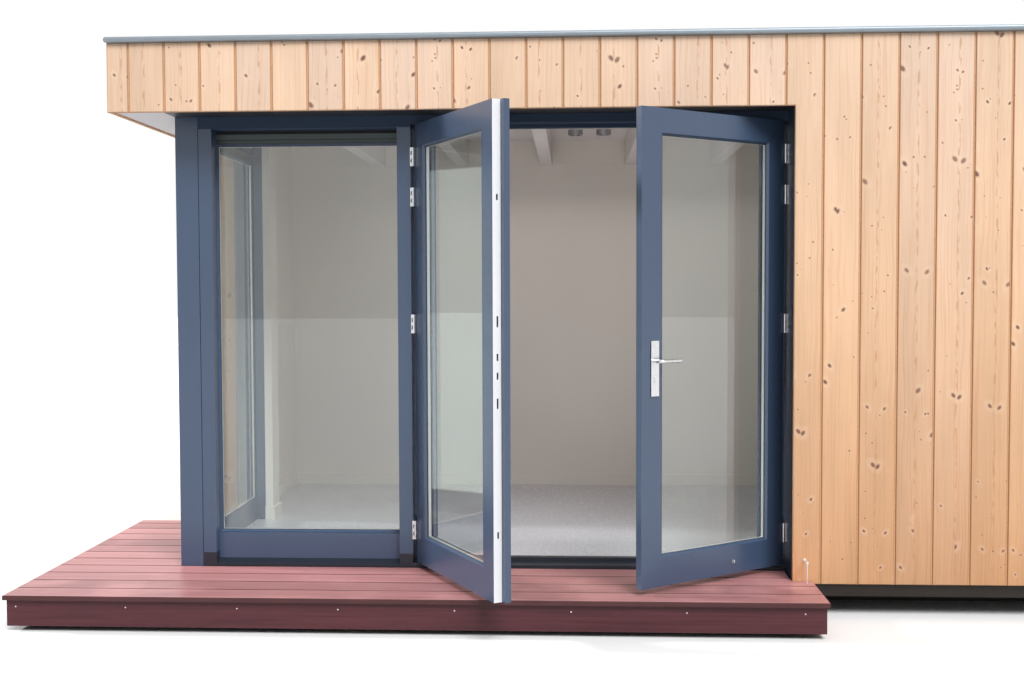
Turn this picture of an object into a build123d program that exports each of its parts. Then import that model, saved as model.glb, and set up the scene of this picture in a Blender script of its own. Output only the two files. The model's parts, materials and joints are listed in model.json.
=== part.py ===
from build123d import *
import os
from math import cos, radians, sin

# Garden office pod: a clad timber room with a glazed corner, a pair of outward-opening doors,
# a flat roof with a rounded metal edge, and a hardwood deck that wraps the glazed corner.
# Millimetres. X runs along the front to the right, Y runs into the building, Z is up.
# The origin is on the ground under the middle of the clad body.

# Body
board_cover = 169
edge_board = 103
full_boards = 29
body_width = 2 * edge_board + full_boards * board_cover
body_depth = 2850
cladding = 22
side_wall = 268
back_wall_thickness = 288

# Levels above the ground
bearer_height = 92
floor_frame_height = 60
deck_top = 165
floor_top = 203
leaf_bottom = 194
lintel_height = 153
ceiling_thickness = 12
roof_thickness = 153
fascia_drip = 5

# Glazed corner
recess = 219
side_overhang = 249
post_width = 110
frame_face = 67
frame_depth = 114
window_light = 904
mullion_face = 65
side_light = 840
soffit_thickness = 9
board_joint = 1
cladding_lap = 7
shadow_gap = 3
shadow_gap_depth = 10

# Door leaves
leaf_width = 882
leaf_height = 2115
leaf_thickness = 68
leaf_gap = 5
hinge_gap = 15.5
stop_width = 17
hinge_stile_width = 100
passive_lock_stile = 106
active_lock_stile = 120
top_rail = 108
bottom_rail = 132
glass_setback = 12
door_glass = 24
cover_strip_width = 50
cover_strip_proud = 5
left_open_angle = 61.3
right_open_angle = 37

# Meeting edges: the passive left leaf has an inner lip, the active right leaf an outer one
inner_lip = 28
left_outer_part = 40
right_outer_part = 28
lip_clearance = 8

# Hinges
hinge_height = 90
lowest_hinge_rise = 156
upper_hinge_drops = (957, 347, 155)
hinge_standoff = 8
axis_to_leaf = 1.5
knuckle_radius = 6.5
knuckle_count = 5
knuckle_gap = 0.4
pin_radius = 3
pin_clearance = 0.05
hinge_plate = 2.5
hinge_plate_reach = 45
plate_start = 7

# Lock furniture on the right leaf
plate_width = 45
plate_height = 244
plate_thickness = 8
plate_level = 1002
plate_edge_distance = 76
lever_level = 1035
lever_radius = 9
lever_reach = 48
lever_length = 116
lever_bend = 16
spindle_radius = 5
spindle_clearance = 0.05
spindle_overrun = 1
cylinder_drop = 72
cylinder_radius = 8.5
cylinder_tail = 16
cylinder_proud = 3

# Full-length strike strip on the left leaf's meeting edge, with slots as level and height
strike_slots = ((315, 28), (872, 44), (988, 30), (1067, 30), (1217, 46), (1737, 26))
strike_margin = 1
strike_thickness = 2
slot_width = 8
slot_setback = 22
slot_depth = 14

# Fixed windows
glass_depth = 88
glass_thickness = 20
rail_setback = 55
rail_top = 321
rail_fall = 3
sill_nose = 177.5
sill_back = 195
threshold_ledge = 185
threshold_nose = 181
ledge_depth = 73
plinth_height = 67
grille_height = 49
grille_lower = 20
grille_lip = 7
grille_drop = 17
grille_step = 3

# Roof edge
edge_height = 28
front_edge_overhang = 22
side_edge_overhang = 6
edge_seat = 60
edge_roundness = 0.45

# Ceiling joists
joist_width = 75
joist_depth = 162
joist_pitch = 559
joist_count = 7
first_joist = 590
blocking = 12
light_radius = 46
light_depth = 32
light_bezel = 12
light_spacing = 175
light_from_back = 540

# Room trim
skirting_height = 73
skirting_thickness = 12
pier_width = 165
liner_width = 48.5
pier_depth = 150

# Deck
deck_front = 400
deck_left = 360
deck_right_return = 85
deck_board_gap = 6
deck_thickness = 21
wing_past_return = 79
wall_notch = 3
deck_end_overhang = 10
fascia_set_back = 20
fascia_board = 20
fascia_depth = 120
bearer_width = 45
bearers_from_left = (52.5, 550, 1051, 1501)
bearers_from_right = (1624, 1114, 612, 103)
bearer_lift = 24
foot_set_back = 100

# Foundation
sleeper_width = 100
sleeper_inset = 150

# Wind hook beside the doorway
hook_offset = 47
hook_level = 265
hook_length = 90
hook_rod = 2.5
hook_tip = 12.5
hook_standoff = 64
hook_loop_radius = 6
hook_loop_depth = 5
hook_collar = 2
hook_rose_radius = 7.5
eye_radius = 7
eye_rod = 2
leaf_eye_distance = 330
leaf_eye_level = 58

# Derived places, X
body_left = -body_width / 2
body_right = body_width / 2
core_left = body_left + cladding
core_right = body_right - cladding
room_left = core_left + side_wall
room_right = core_right - side_wall
post_left = body_left + side_overhang
post_right = post_left + post_width
stile_right = post_right + frame_face
light_right = stile_right + window_light
mullion_right = light_right + mullion_face
door_opening = 2 * hinge_gap + 2 * leaf_width + leaf_gap
jamb_left = mullion_right + door_opening
jamb_right = jamb_left + frame_face
reveal_x = jamb_left
cladding_edge = reveal_x - cladding_lap
left_axis_x = mullion_right + hinge_gap - axis_to_leaf
right_axis_x = jamb_left - hinge_gap + axis_to_leaf
right_free_edge = right_axis_x - axis_to_leaf - leaf_width
side_frame_inner = post_left + frame_depth
liner_right = side_frame_inner + liner_width
pier_right = room_left + pier_width

# Derived places, Y
front_face = -body_depth / 2
back_face = body_depth / 2
core_front = front_face + cladding
core_back = back_face - cladding
frame_front = front_face + recess
frame_back = frame_front + frame_depth
room_front = frame_back
room_back = core_back - back_wall_thickness
axis_y = frame_front - hinge_standoff
side_stile_front = frame_back + frame_face
side_stile_back = side_stile_front + side_light
return_face = side_stile_back + frame_face

# Derived places, Z
floor_frame_top = bearer_height + floor_frame_height
leaf_top = leaf_bottom + leaf_height
head_rebate = leaf_top + leaf_gap
sight_line = head_rebate - stop_width
head_top = sight_line + frame_face
rebate_depth = leaf_thickness + leaf_gap
hinge_levels = [leaf_bottom + lowest_hinge_rise] + [leaf_top - drop for drop in upper_hinge_drops]
roof_under = head_top + lintel_height
ceiling_under = roof_under - ceiling_thickness
roof_top = roof_under + roof_thickness
fascia_bottom = head_top - soffit_thickness - fascia_drip
joist_under = ceiling_under - joist_depth
deck_under = deck_top - deck_thickness
grille_bottom = sight_line - grille_drop - grille_height


def block(x0, x1, y0, y1, z0, z1):
    """A box between two corners."""
    return Pos((x0 + x1) / 2, (y0 + y1) / 2, (z0 + z1) / 2) * Box(x1 - x0, y1 - y0, z1 - z0)


def rod(start, end, radius):
    """A round bar between two points."""
    start = Vector(*start)
    end = Vector(*end)
    line = end - start
    return Plane(origin=(start + end) * 0.5, z_dir=line) * Cylinder(radius, line.length)


def along_x(points, x0, x1):
    """A section given as (y, z) points, drawn out along X."""
    section = Plane.YZ.offset(x0) * make_face(Polyline(*points, close=True))
    return extrude(section, x1 - x0)


def along_y(points, y0, y1):
    """A section given as (x, z) points, drawn out along Y."""
    section = Plane.XZ.offset(-y0) * make_face(Polyline(*points, close=True))
    return extrude(section, y0 - y1)


def save(name, *solids):
    """Writes one named sub-part."""
    shape = solids[0] if len(solids) == 1 else Compound(list(solids))
    export_step(shape, f"parts/{name}.step")


def swing(shape, axis_x, angle):
    """Turns a shape about a door's vertical hinge axis."""
    return shape.rotate(Axis((axis_x, axis_y, 0), (0, 0, 1)), angle)


def build_base():
    """Sleepers on the ground, the floor frame on them and the floor."""
    rows = (frame_front + sleeper_inset, 0, core_back - sleeper_inset)
    sleepers = []
    for y in rows:
        start = post_left + sleeper_inset if y < 0 else core_left + sleeper_inset
        sleepers.append(block(start, core_right - sleeper_inset, y - sleeper_width / 2,
                              y + sleeper_width / 2, 0, bearer_height))
    save("foundation_sleepers", *sleepers)

    platform = block(post_left, core_right, frame_front, core_back, bearer_height, floor_frame_top)
    platform += block(core_left, post_left, return_face + cladding, core_back,
                      bearer_height, floor_frame_top)
    platform += block(jamb_right, core_right, core_front, frame_front, bearer_height, floor_frame_top)
    save("floor_frame", platform)

    floor = block(room_left, room_right, room_front, room_back, floor_frame_top, floor_top)
    floor -= block(room_left, side_frame_inner, room_front, return_face, floor_frame_top, floor_top)
    floor -= pier()
    save("floor", floor)


def pier():
    """The white pier that ends the side window inside the room."""
    z0, z1 = floor_frame_top, roof_under
    return (block(post_left, pier_right, return_face, side_stile_back + pier_depth, z0, z1)
            + block(liner_right, pier_right, side_stile_back, return_face, z0, z1))


def build_walls():
    """Wall cores behind the cladding, with the beams over the glazing."""
    panel_back = reveal_x + soffit_thickness
    front = block(panel_back, core_right, core_front, room_front, floor_frame_top, roof_under)
    front -= block(panel_back, jamb_right, frame_front, room_front, floor_frame_top, head_top)
    save("front_wall", front)

    left = block(core_left, room_left, return_face + cladding, core_back, floor_frame_top, roof_under)
    save("left_wall", left + pier())

    back = block(room_left, room_right, room_back, core_back, floor_frame_top, roof_under)
    edges = [room_left]
    for x in joist_places():
        edges += [x - joist_width / 2 - board_joint, x + joist_width / 2 + board_joint]
    edges.append(room_right)
    for x0, x1 in zip(edges[::2], edges[1::2]):
        back += block(x0, x1, room_back - blocking, room_back, joist_under, ceiling_under)
    save("back_wall", back)

    save("right_wall", block(room_right, core_right, room_front, core_back, floor_frame_top, roof_under))
    save("front_lintel", block(core_left, panel_back, core_front, room_front, head_top, roof_under))
    save("side_lintel", block(core_left, side_frame_inner, room_front, return_face, head_top, roof_under))


def joist_places():
    return [room_left + first_joist + joist_pitch * i for i in range(joist_count)]


def build_roof():
    """Ceiling joists and boards, the roof slab, its rounded edge and the lights."""
    half = joist_width / 2
    joists = [block(x - half, x + half, room_front, room_back, joist_under, ceiling_under)
              for x in joist_places()]
    save("ceiling_joists", *joists)

    ceiling = block(room_left, room_right, room_front, room_back, ceiling_under, roof_under)
    ceiling -= block(room_left, side_frame_inner, room_front, return_face, ceiling_under, roof_under)
    ceiling -= pier()
    save("ceiling", ceiling)

    save("roof", block(core_left, core_right, core_front, core_back, roof_under, roof_top))

    build_roof_edge()

    centre = (joist_places()[2] + joist_places()[3]) / 2
    lights = []
    for x in (centre - light_spacing / 2, centre + light_spacing / 2):
        place = Pos(x, room_back - light_from_back, ceiling_under - light_depth / 2)
        ring = place * Cylinder(light_radius, light_depth)
        recess_cut = Pos(0, 0, -light_depth / 2) * place * Cylinder(light_radius - light_bezel, light_depth)
        lights.append(ring - recess_cut)
    save("downlights", *lights)


def build_roof_edge():
    """Rounded metal edge around the roof, mitred at its corners."""
    x0, x1 = body_left - side_edge_overhang, body_right + side_edge_overhang
    y0, y1 = front_face - front_edge_overhang, back_face + front_edge_overhang
    z1 = roof_top + edge_height
    w = front_edge_overhang + edge_seat
    slab = block(x0, x1, y0, y1, roof_top, z1)
    rim = slab.edges().filter_by(Axis.X) + slab.edges().filter_by(Axis.Y)
    ring = fillet(rim, edge_height * edge_roundness)
    ring -= block(x0 + w, x1 - w, y0 + w, y1 - w, roof_top, z1)
    front_corners = ((x0, y0), (x1, y0), (x1 - w, y0 + w), (x0 + w, y0 + w))
    left_corners = ((x0, y0), (x0 + w, y0 + w), (x0 + w, y1 - w), (x0, y1))
    mitres = [extrude(Plane.XY.offset(roof_top) * make_face(Polyline(*corners, close=True)), edge_height)
              for corners in (front_corners, left_corners)]
    front, left = [ring & mitre for mitre in mitres]
    save("roof_edge_long", front, mirror(front, Plane.XZ))
    save("roof_edge_short", left, mirror(left, Plane.YZ))


def build_cladding():
    """The boarded skins as plain slabs: fascia over the glazing and full-height walls."""
    low = floor_frame_top
    save("cladding_front", block(cladding_edge, body_right, front_face, core_front, low, roof_top))
    save("cladding_fascia", block(body_left, cladding_edge, front_face, core_front, fascia_bottom, roof_top))
    save("cladding_left_fascia",
         block(body_left, core_left, core_front, return_face, fascia_bottom, roof_top))
    save("cladding_left", block(body_left, core_left, return_face, back_face, low, roof_top))
    save("cladding_return",
         block(core_left, post_left, return_face, return_face + cladding, low, head_top))
    save("cladding_back", block(core_left, body_right, core_back, back_face, low, roof_top))
    save("cladding_right", block(core_right, body_right, core_front, core_back, low, roof_top))
    save("reveal_panel", block(reveal_x, reveal_x + soffit_thickness, core_front, frame_front,
                               low, head_top - soffit_thickness))
    save("front_soffit", block(post_left + board_joint, reveal_x, core_front, frame_front,
                               head_top - soffit_thickness, head_top))
    save("side_soffit", block(core_left, post_left, core_front, return_face,
                              head_top - soffit_thickness, head_top))


def threshold_section(start):
    """Doorway threshold from the outer face inwards: a ledge under the leaves, then a step up."""
    fall = threshold_ledge - threshold_nose
    return [(start, floor_frame_top), (start, threshold_nose), (start + fall, threshold_ledge),
            (start + ledge_depth, threshold_ledge), (start + ledge_depth, floor_top),
            (start + frame_depth, floor_top), (start + frame_depth, floor_frame_top)]


def sill_section(start):
    """Sloping sill under a fixed window."""
    return [(start, floor_frame_top), (start, sill_nose), (start + rail_setback, sill_back),
            (start + frame_depth, sill_back), (start + frame_depth, floor_frame_top)]


def rail_section(start):
    """Bottom rail of a fixed window, with a top that falls outwards."""
    return [(start + rail_setback, sill_back), (start + rail_setback, rail_top - rail_fall),
            (start + glass_depth, rail_top), (start + frame_depth, rail_top),
            (start + frame_depth, sill_back)]


def grille_section(start):
    """Vent over the glass: a body with a projecting upper hood."""
    face = start + glass_depth
    back = face + glass_thickness
    split = grille_bottom + grille_lower
    top = sight_line - grille_drop
    return [(face, grille_bottom), (face, split), (face - grille_lip, split + grille_step),
            (face - grille_lip, top), (back, top), (back, grille_bottom)]


def build_joinery():
    """Corner post, frames, sills, rails, vents and glass of the fixed windows and the door frame."""
    save("corner_post", block(post_left, post_right, frame_front, frame_back, floor_frame_top, head_top))

    head = block(post_right, jamb_right, frame_front, frame_back, sight_line, head_top)
    head -= block(mullion_right, jamb_left, frame_front, frame_front + rebate_depth,
                  sight_line, head_rebate)
    side_head = block(post_left, side_frame_inner, frame_back, return_face, sight_line, head_top)
    save("frame_heads", head, side_head)

    foot = deck_top + plinth_height
    stile = block(post_right, stile_right, frame_front, frame_back, foot, sight_line)
    stile -= block(post_right, post_right + shadow_gap, frame_front, frame_front + shadow_gap_depth,
                   foot, sight_line)
    mullion = block(light_right, mullion_right, frame_front, frame_back, foot, sight_line)
    mullion += block(mullion_right, mullion_right + stop_width, frame_front + rebate_depth, frame_back,
                     floor_top, sight_line)
    jamb = block(jamb_left, jamb_right, frame_front, frame_back, foot, sight_line)
    jamb += block(jamb_left - stop_width, jamb_left, frame_front + rebate_depth, frame_back,
                  floor_top, sight_line)
    save("front_frame_uprights", stile, mullion, jamb)
    save("side_frame_stiles",
         block(post_left, side_frame_inner, frame_back, side_stile_front, foot, sight_line),
         block(post_left, side_frame_inner, side_stile_back, return_face, foot, sight_line),
         block(side_frame_inner, liner_right, side_stile_back, return_face, floor_top, ceiling_under))

    uprights = ((post_right, stile_right), (light_right, mullion_right), (jamb_left, jamb_right))
    plinths = [block(x0, x1, frame_front, frame_back, floor_frame_top, foot) for x0, x1 in uprights]
    save("front_plinth_blocks", *plinths)
    save("side_plinth_blocks",
         block(post_left, side_frame_inner, frame_back, side_stile_front, floor_frame_top, foot),
         block(post_left, side_frame_inner, side_stile_back, return_face, floor_frame_top, foot))

    save("sills",
         along_x(sill_section(frame_front), stile_right, light_right),
         along_x(threshold_section(frame_front), mullion_right, jamb_left),
         along_y(sill_section(post_left), side_stile_front, side_stile_back))
    save("window_bottom_rails",
         along_x(rail_section(frame_front), stile_right, light_right),
         along_y(rail_section(post_left), side_stile_front, side_stile_back))
    save("vent_grilles",
         along_x(grille_section(frame_front), stile_right, light_right),
         along_y(grille_section(post_left), side_stile_front, side_stile_back))
    glass_back = glass_depth + glass_thickness
    save("window_glass",
         block(stile_right, light_right, frame_front + glass_depth, frame_front + glass_back,
               rail_top, grille_bottom),
         block(post_left + glass_depth, post_left + glass_back, side_stile_front, side_stile_back,
               rail_top, grille_bottom))


def leaf_parts(hinge_x, sign):
    """One closed door leaf: stiles, rails and glass. sign is +1 for the left leaf, -1 for the right."""
    y0 = frame_front
    y1 = frame_front + leaf_thickness
    edge = hinge_x + sign * axis_to_leaf
    free = edge + sign * leaf_width

    def span(a, b, ya, yb, z0, z1):
        return block(min(a, b), max(a, b), ya, yb, z0, z1)

    lock_width = passive_lock_stile if sign > 0 else active_lock_stile
    inner_a = edge + sign * hinge_stile_width
    inner_b = free - sign * lock_width
    hinge_stile = span(edge, inner_a, y0, y1, leaf_bottom, leaf_top)
    lock_stile = span(inner_b, free, y0, y1, leaf_bottom, leaf_top)
    if sign > 0:
        lock_stile += span(free, free + inner_lip, y0 + left_outer_part, y1, leaf_bottom, leaf_top)
    else:
        lock_stile -= span(free, free + inner_lip + lip_clearance - leaf_gap, y0 + right_outer_part, y1,
                           leaf_bottom, leaf_top)
        lock_stile += span(free, free + cover_strip_width, y0 - cover_strip_proud, y0, leaf_bottom, leaf_top)
    upper = span(inner_a, inner_b, y0, y1, leaf_top - top_rail, leaf_top)
    lower = span(inner_a, inner_b, y0, y1, leaf_bottom, leaf_bottom + bottom_rail)
    glass = span(inner_a, inner_b, y0 + glass_setback, y0 + glass_setback + door_glass,
                 leaf_bottom + bottom_rail, leaf_top - top_rail)
    return hinge_stile, lock_stile, upper, lower, glass


def hinge(axis_x, level, sign, moving):
    """One side of a hinge: its knuckles and its plate. The fixed side holds the pin."""
    pitch = hinge_height / knuckle_count
    bottom = level - hinge_height / 2
    top = bottom + hinge_height
    back = frame_front + hinge_plate_reach

    def strip(a, b, y0, y1, z0, z1):
        xs = sorted((axis_x + sign * a, axis_x + sign * b))
        return block(xs[0], xs[1], y0, y1, z0, z1)

    on_leaf = axis_to_leaf - hinge_plate
    on_frame = axis_to_leaf - hinge_gap
    if moving:
        body = strip(on_leaf, axis_to_leaf, axis_y + plate_start, back, bottom, top)
    else:
        body = strip(on_frame, on_frame + hinge_plate, axis_y - hinge_plate / 2, back, bottom, top)
    for i in range(knuckle_count):
        if (i % 2 == 1) != moving:
            continue
        z0 = bottom + i * pitch + knuckle_gap / 2
        z1 = bottom + (i + 1) * pitch - knuckle_gap / 2
        body += Pos(axis_x, axis_y, (z0 + z1) / 2) * Cylinder(knuckle_radius, z1 - z0)
        if moving:
            body += strip(on_leaf, axis_to_leaf, axis_y, axis_y + plate_start, z0, z1)
        else:
            body += strip(on_frame, 0, axis_y - hinge_plate / 2, axis_y + hinge_plate / 2, z0, z1)
    if moving:
        return body - Pos(axis_x, axis_y, level) * Cylinder(pin_radius + pin_clearance, hinge_height)
    return body + Pos(axis_x, axis_y, level) * Cylinder(pin_radius, hinge_height)


def build_left_leaf():
    """The passive leaf, drawn closed and then swung open."""
    hinge_stile, lock_stile, upper, lower, glass = leaf_parts(left_axis_x, 1)
    free = left_axis_x + axis_to_leaf + leaf_width
    strip = block(free - strike_thickness, free, frame_front + strike_margin,
                  frame_front + left_outer_part - strike_margin, leaf_bottom, leaf_top)
    slot_middle = frame_front + slot_setback
    for level, height in strike_slots:
        slot = block(free - slot_depth, free, slot_middle - slot_width / 2, slot_middle + slot_width / 2,
                     deck_top + level - height / 2, deck_top + level + height / 2)
        strip -= slot
        lock_stile -= slot
    lock_stile -= block(free - strike_thickness, free, frame_front + strike_margin,
                        frame_front + left_outer_part - strike_margin, leaf_bottom, leaf_top)
    hinges = [hinge(left_axis_x, level, 1, True) for level in hinge_levels]

    def opened(shape):
        return swing(shape, left_axis_x, -left_open_angle)

    save("left_leaf_stiles", opened(hinge_stile), opened(lock_stile))
    save("left_leaf_rails", opened(upper), opened(lower))
    save("left_leaf_glass", opened(glass))
    save("left_leaf_hinges", *[opened(h) for h in hinges])
    save("left_strike_plates", opened(strip))


def lever(sign):
    """A lever handle on one face: neck, bend and grip. sign -1 is the outer face, +1 the inner."""
    face = frame_front if sign < 0 else frame_front + leaf_thickness
    x = right_free_edge + plate_edge_distance
    start = (x, face, deck_top + lever_level)
    corner = (x, face + sign * lever_reach, deck_top + lever_level)
    end = (x + lever_length, face + sign * lever_reach, deck_top + lever_level)
    path = FilletPolyline(start, corner, end, radius=lever_bend)
    section = Plane(origin=start, z_dir=(0, sign, 0)) * Circle(lever_radius)
    return sweep(section, path)


def back_plate(sign):
    """The long plate behind a lever, with its cylinder, on one face of the right leaf."""
    x = right_free_edge + plate_edge_distance
    face = frame_front if sign < 0 else frame_front + leaf_thickness
    outer = face + sign * plate_thickness
    plate = block(x - plate_width / 2, x + plate_width / 2, min(face, outer), max(face, outer),
                  deck_top + plate_level - plate_height / 2, deck_top + plate_level + plate_height / 2)
    plate -= rod((x, face, deck_top + lever_level), (x, outer, deck_top + lever_level),
                 lever_radius + spindle_clearance)
    barrel_z = deck_top + lever_level - cylinder_drop
    proud = outer + sign * cylinder_proud
    plate += rod((x, face, barrel_z), (x, proud, barrel_z), cylinder_radius)
    plate += block(x - cylinder_radius / 2, x + cylinder_radius / 2, min(face, proud), max(face, proud),
                   barrel_z - cylinder_radius - cylinder_tail, barrel_z)
    return plate


def build_right_leaf():
    """The active leaf with its lock furniture, drawn closed and then swung open."""
    hinge_stile, lock_stile, upper, lower, glass = leaf_parts(right_axis_x, -1)
    x = right_free_edge + plate_edge_distance
    z = deck_top + lever_level
    bore = spindle_radius + spindle_clearance
    lock_stile -= rod((x, frame_front, z), (x, frame_front + leaf_thickness, z), bore)
    hinges = [hinge(right_axis_x, level, -1, True) for level in hinge_levels]
    handle = lever(-1) + lever(1)
    handle += rod((x, frame_front - spindle_overrun, z),
                  (x, frame_front + leaf_thickness + spindle_overrun, z), spindle_radius)
    eye_x = right_axis_x - leaf_eye_distance
    eye_z = leaf_bottom + leaf_eye_level
    eye = Pos(eye_x, frame_front - eye_radius - eye_rod, eye_z) * Rot(0, 90, 0) * Torus(eye_radius, eye_rod)

    def opened(shape):
        return swing(shape, right_axis_x, right_open_angle)

    save("right_leaf_stiles", opened(hinge_stile), opened(lock_stile))
    save("right_leaf_rails", opened(upper), opened(lower))
    save("right_leaf_glass", opened(glass))
    save("right_leaf_hinges", *[opened(h) for h in hinges])
    save("lock_plates", opened(back_plate(-1)), opened(back_plate(1)))
    save("lever_handle", opened(handle))
    save("leaf_hook_eye", opened(eye))


def build_hinges():
    """The fixed sides of all eight hinges."""
    sides = [hinge(left_axis_x, level, 1, False) for level in hinge_levels]
    sides += [hinge(right_axis_x, level, -1, False) for level in hinge_levels]
    save("frame_hinges", *sides)


def build_hook():
    """Wind hook on its pivot pin beside the doorway, hanging straight down."""
    x = reveal_x + hook_offset
    y = front_face - hook_standoff
    pin_end = y - hook_loop_depth / 2 - hook_collar
    pin = rod((x, front_face, hook_level), (x, pin_end - hook_collar, hook_level), hook_rod)
    pin += rod((x, front_face, hook_level), (x, front_face - hook_collar, hook_level), hook_rose_radius)
    pin += rod((x, pin_end, hook_level), (x, pin_end - hook_collar, hook_level), hook_loop_radius)
    save("hook_pivot", pin)

    half = hook_loop_depth / 2
    loop = rod((x, y - half, hook_level), (x, y + half, hook_level), hook_loop_radius)
    shank = rod((x, y, hook_level), (x, y, hook_level - hook_length), hook_rod)
    tip = rod((x, y, hook_level - hook_length), (x, y - hook_tip, hook_level - hook_length), hook_rod)
    hole = rod((x, y - hook_loop_depth, hook_level), (x, y + hook_loop_depth, hook_level),
               hook_rod + pin_clearance)
    save("wind_hook", loop + shank + tip - hole)


def build_deck():
    """Deck boards as two slabs, the fascia under their nosing and the bearers beneath."""
    left = body_left - deck_left
    right = reveal_x + deck_right_return
    front = front_face - deck_front
    back = frame_front - deck_board_gap
    wing_end = return_face + wing_past_return
    main = block(left, right, front, back, deck_under, deck_top)
    main -= block(cladding_edge - wall_notch, right, front_face - wall_notch, back, deck_under, deck_top)
    wing = block(left, post_left, frame_front, wing_end, deck_under, deck_top)
    wing -= block(body_left - wall_notch, post_left, return_face - wall_notch, wing_end,
                  deck_under, deck_top)
    save("deck_boards", main, wing)

    face = front + fascia_set_back
    behind = face + fascia_board
    side_left = left + deck_end_overhang
    side_right = right - deck_end_overhang
    z0 = deck_under - fascia_depth
    save("deck_fascia",
         block(side_left, side_right, face, behind, z0, deck_under),
         block(side_left, side_left + fascia_board, behind + board_joint, wing_end, z0, deck_under),
         block(side_right - fascia_board, side_right, behind + board_joint, front_face - wall_notch,
               z0, deck_under))

    bearers = []
    places = [left + place for place in bearers_from_left] + [right - place for place in bearers_from_right]
    for x in places:
        end = frame_front
        if x < body_left:
            end = wing_end
        elif x < post_left:
            end = return_face
        sides = (x - bearer_width / 2, x + bearer_width / 2)
        bearers.append(block(*sides, behind, end, bearer_lift, deck_under)
                       + block(*sides, behind + foot_set_back, end, 0, bearer_lift))
    save("deck_bearers", *bearers)


def build_skirting():
    """Skirting boards along the walls of the room."""
    t = skirting_thickness
    z0, z1 = floor_top, floor_top + skirting_height
    side_end = room_back - t - board_joint
    pier_back = side_stile_back + pier_depth
    wrap = block(pier_right, pier_right + t, side_stile_back - t, pier_back, z0, z1)
    wrap += block(liner_right, pier_right, side_stile_back - t, side_stile_back, z0, z1)
    save("skirting",
         block(room_left, room_right, room_back - t, room_back, z0, z1),
         block(room_left, room_left + t, pier_back + t + board_joint, side_end, z0, z1),
         block(room_right - t, room_right, room_front + t + board_joint, side_end, z0, z1),
         block(jamb_right, room_right, room_front, room_front + t, z0, z1),
         wrap)


os.makedirs("parts", exist_ok=True)
build_base()
build_walls()
build_roof()
build_cladding()
build_joinery()
build_hinges()
build_left_leaf()
build_right_leaf()
build_hook()
build_deck()
build_skirting()
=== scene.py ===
import json
import math
import random

import bmesh
import bpy
from mathutils import Matrix, Vector


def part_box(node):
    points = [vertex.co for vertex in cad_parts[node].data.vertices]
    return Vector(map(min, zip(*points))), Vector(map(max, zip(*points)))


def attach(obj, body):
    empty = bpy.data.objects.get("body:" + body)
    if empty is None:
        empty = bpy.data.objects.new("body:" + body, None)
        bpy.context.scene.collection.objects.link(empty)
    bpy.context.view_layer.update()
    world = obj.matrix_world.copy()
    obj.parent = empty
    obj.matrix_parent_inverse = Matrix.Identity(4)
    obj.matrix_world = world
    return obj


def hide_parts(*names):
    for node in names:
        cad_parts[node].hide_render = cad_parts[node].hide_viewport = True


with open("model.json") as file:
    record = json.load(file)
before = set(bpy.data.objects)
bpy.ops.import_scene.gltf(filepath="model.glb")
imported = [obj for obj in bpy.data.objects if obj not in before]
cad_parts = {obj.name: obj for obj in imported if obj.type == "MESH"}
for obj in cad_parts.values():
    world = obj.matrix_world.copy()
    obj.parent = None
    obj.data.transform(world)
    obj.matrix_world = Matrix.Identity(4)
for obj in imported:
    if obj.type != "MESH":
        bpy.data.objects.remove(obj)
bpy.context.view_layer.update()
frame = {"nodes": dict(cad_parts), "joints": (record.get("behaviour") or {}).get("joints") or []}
NODES = frame["nodes"]

# Sizes are in metres; first those of the cladding boards and their nails
BODY_DEPTH = 2.85
CORNER_LAP = 0.022
BOARD_COVER = 0.169
BOARD_GROOVE = 0.005
EDGE_BOARD = 0.103
LEAST_STRIP = 0.02
BOARD_BACKING = 0.0165
BOARD_ARRIS = 0.0028
NAILED_WIDTH = 0.07
NAIL_LEVELS = (0.06, 0.75, 1.45, 2.1)
NAIL_TOP_GAP = 0.04
NAIL_SCATTER = 0.004
NAIL_INSET = 0.028
NAIL_RADIUS = 0.0026
NAIL_HEIGHT = 0.0006

# Deck boards, their edge boards and screws
DECK_PITCH = 0.1545
DECK_GAP = 0.006
DECK_ARRIS = 0.002
LEAST_ROW = 0.01
FRAME_ROW = 0.02
FRAME_GAP = 0.001
WALL_GAP = 0.003
EDGE_THICK = 0.02
EDGE_JOINT = 0.001
BEARERS = (0.0525, 0.550, 1.051, 1.501, 2.016, 2.526, 3.028, 3.537)
SCREW_INSET = 0.03
SCREW_END = 0.01
SCREW_ROW = 0.05
SCREW_RADIUS = 0.0035
EDGE_SCREW_RADIUS = 0.004
EDGE_SCREW_DROP = 0.032
SCREW_HEIGHT = 0.0006
SCREW_SUNK = 0.0004

# Panes: depths run from the outer face of the frame to bead, glass front, glass back and inner bead
BEAD = 0.010
SPACER = 0.0025
SPACER_HOLD = 0.003
SPACER_FRONT = 0.004
SPACER_BACK = 0.006
SEAL_WIDTH = 0.0015
SEAL_PROUD = 0.0012
SEAL_SUNK = 0.0004
GLASS_GAP = 0.0005
LEAF_DEPTHS = (0.001, 0.012, 0.036, 0.067)
WINDOW_DEPTHS = (0.076, 0.088, 0.108, 0.1135)
LEAF_RAILS = (0.326, 2.201)
LEAF_WIDTH = 0.882
HINGE_STILE = 0.100
LEFT_FREE_STILE = 0.106
RIGHT_FREE_STILE = 0.120
LEAF_START = 0.0015
AXIS_BEFORE_FACE = 0.008
FRONT_PANE_START = -2.1275
SIDE_PANE_START = -1.025

# Vent slots, which a near-black block fills as painted shade, lamp faces and softened edges
SLOT_HEIGHT = 0.0168
SLOT_DEPTHS = (0.094, 0.1075)
LENS_RECESS = 0.0165
LENS_RIM = 0.013
LENS_HEIGHT = 0.006
LENS_SIDES = 24
EDGE_ROUNDING = 0.0015
EDGE_ANGLE = 50
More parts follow.
